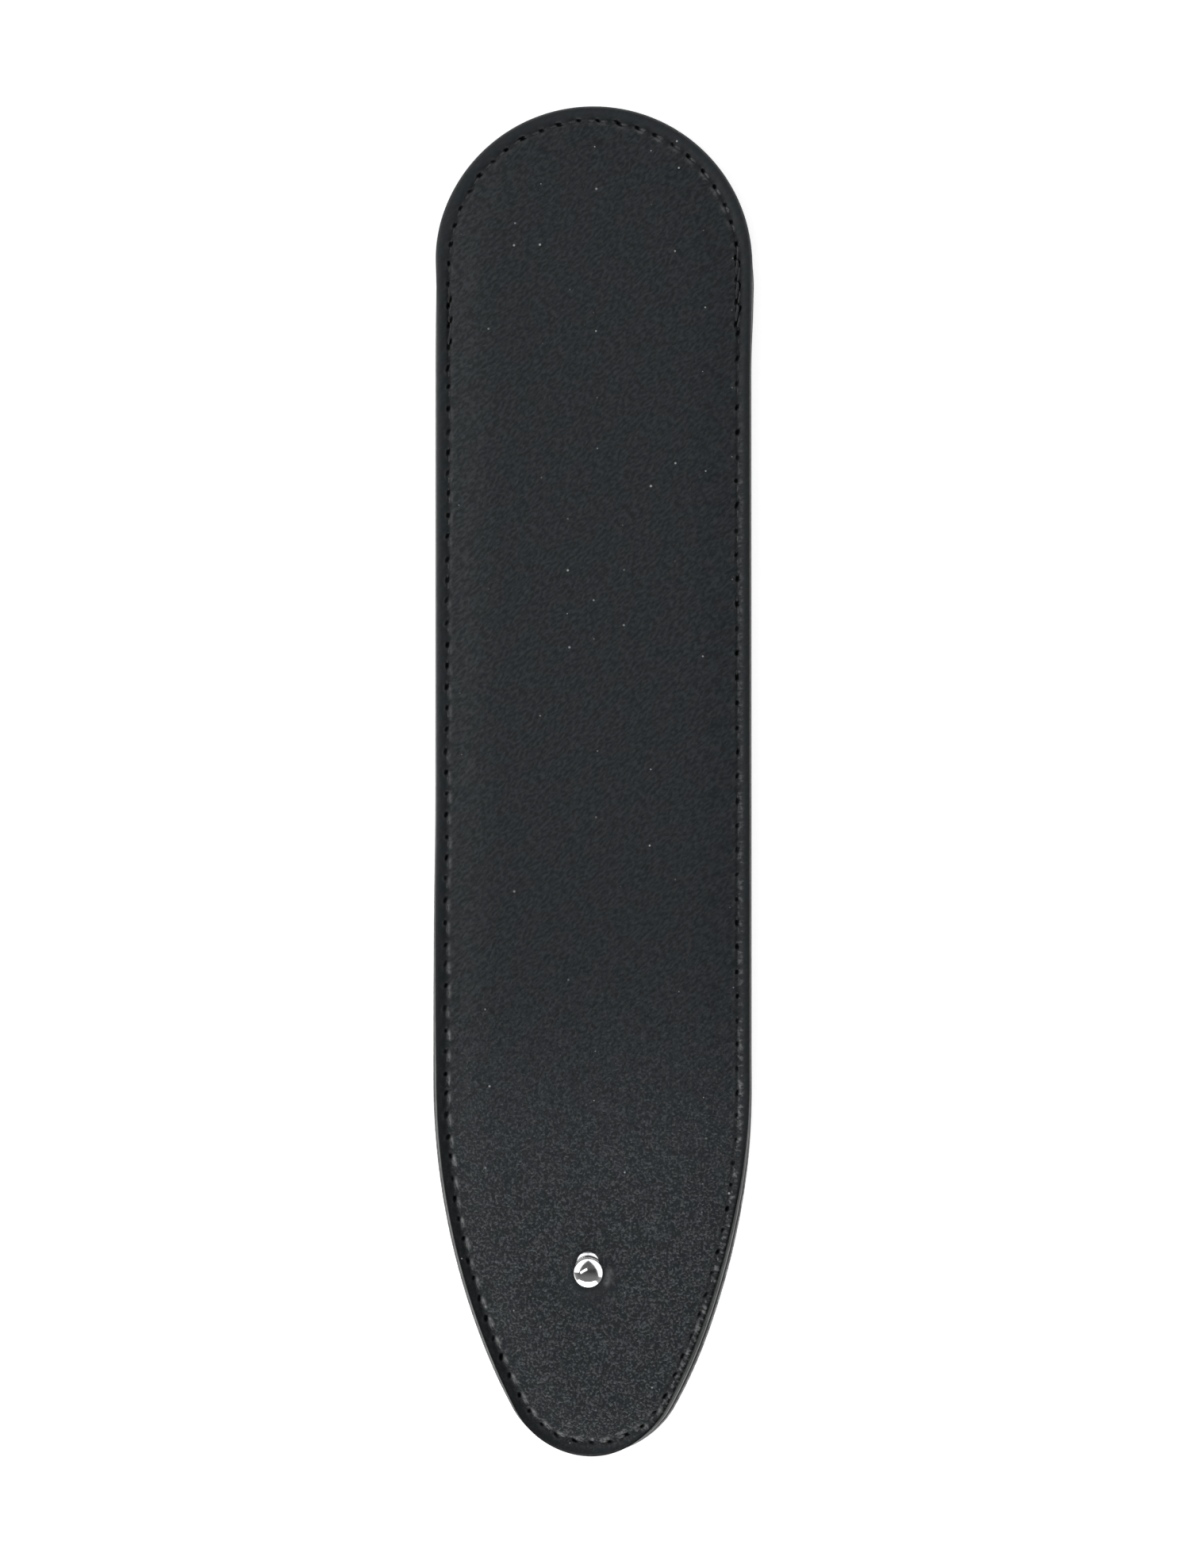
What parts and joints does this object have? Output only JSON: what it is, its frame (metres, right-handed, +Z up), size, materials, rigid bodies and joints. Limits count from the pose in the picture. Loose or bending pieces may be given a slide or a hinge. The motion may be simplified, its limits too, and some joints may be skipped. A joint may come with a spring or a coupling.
{
  "type": "leather slip sheath",
  "caption": "Flat black leather slip sheath with a rounded top, straight sides and a tapered round tip, a stitched edge, a pocket behind and a small domed rivet near the tip.",
  "frame": {"origin": "middle of the bounding box in length and width, at the height of the surface it lies on", "axes": "+Y along the sheath from the tip to the rounded top, +Z up through the layers from the pocket to the long face panel, +X across to the right seen from the face with the top up"},
  "size_m": [0.04, 0.17, 0.0055],
  "materials": {
    "leather": "fine-grained black calf, satin, smooth along the border",
    "leather_edge": "cut leather with black edge paint, slightly worn to grey",
    "leather_facing": "smooth black skiver",
    "lining": "short-napped black microsuede",
    "board": "pressed leather-fibre board",
    "thread": "bonded black polyester thread, slight sheen",
    "rivet_metal": "bright nickel plate",
    "rivet_shank": "drawn steel"
  },
  "bodies": {
    "root": {"face_panel": "leather", "pocket_panel": "leather", "welt": "leather_edge", "mouth_facing": "leather_facing", "face_lining": "lining", "pocket_lining": "lining", "face_stiffener": "board", "pocket_stiffener": "board", "seam_needle_thread": "thread", "seam_bobbin_thread": "thread", "mouth_needle_thread": "thread", "mouth_bobbin_thread": "thread", "rivet_cap": "rivet_metal", "rivet_washer": "rivet_metal", "rivet_back_cap": "rivet_metal", "rivet_post": "rivet_shank"}
  },
  "joints": []
}
